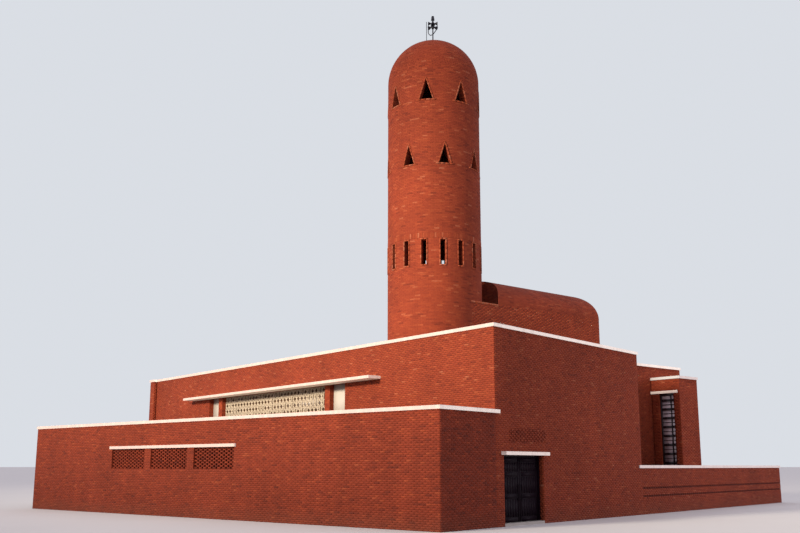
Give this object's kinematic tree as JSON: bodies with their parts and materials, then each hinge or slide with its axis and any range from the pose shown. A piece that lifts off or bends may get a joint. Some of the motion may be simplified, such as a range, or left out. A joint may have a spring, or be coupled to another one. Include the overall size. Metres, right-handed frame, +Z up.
{
  "type": "brick mosque building",
  "caption": "Brick mosque with a flat-roofed front block, a tall prayer hall, a round domed tower, a barrel vault, white copings and a double entrance door",
  "frame": {"origin": "middle of the building's plan, at ground level", "axes": "+X towards the entrance door's side, +Y from the long front wall into the building, +Z up"},
  "size_m": [28.9766, 32.83, 23.11],
  "materials": {
    "brick": "fair-faced red brickwork",
    "shaded_brick": "fair-faced red brickwork, weathered",
    "white_masonry": "white painted cement",
    "concrete": "grey cement screed",
    "door_paint": "dark painted joinery",
    "dark_metal": "grey painted steel"
  },
  "bodies": {
    "building": {"long_wall": "brick", "brick_screen_1": "brick", "brick_screen_2": "brick", "brick_screen_3": "brick", "lower_end_wall": "brick", "side_wall": "brick", "window_pier_right": "brick", "window_pier_left": "brick", "tower_shaft": "brick", "slot_ring": "brick", "lower_triangle_ring": "brick", "upper_triangle_ring": "brick", "dome": "brick", "lower_corner_wall": "shaded_brick", "door_head_wall": "shaded_brick", "door_wall": "shaded_brick", "return_wall": "shaded_brick", "hall_wall": "shaded_brick", "back_wall": "shaded_brick", "far_wall": "shaded_brick", "vault_box": "shaded_brick", "vault_shell": "shaded_brick", "vault_curved_wall": "shaded_brick", "vault_gable": "shaded_brick", "bay_walls": "shaded_brick", "low_wall": "shaded_brick", "screen_lintel": "white_masonry", "lower_coping": "white_masonry", "window_screen": "white_masonry", "canopy": "white_masonry", "back_screen": "white_masonry", "back_canopy": "white_masonry", "door_lintel": "white_masonry", "upper_coping": "white_masonry", "bay_lintel": "white_masonry", "bay_coping": "white_masonry", "low_wall_coping": "white_masonry", "lower_roof": "concrete", "floor": "concrete", "roof": "concrete", "vault_ledge": "concrete", "bay_roof": "concrete", "door_frame": "door_paint", "bay_window": "dark_metal", "finial_pole": "dark_metal", "loudspeakers": "dark_metal", "lightning_rod": "dark_metal"},
    "door_leaf_left": {"door_left": "door_paint"},
    "door_leaf_right": {"door_right": "door_paint"}
  },
  "joints": [
    {"name": "door_left_hinge", "type": "hinge", "parent": "building", "child": "door_leaf_left", "pos_m": [13.9643, -12.562, 1.22], "axis": [0, 0, 1], "range_deg": [0, 80]},
    {"name": "door_right_hinge", "type": "hinge", "parent": "building", "child": "door_leaf_right", "pos_m": [13.9643, -10.068, 1.22], "axis": [0, 0, -1], "range_deg": [0, 90]}
  ]
}
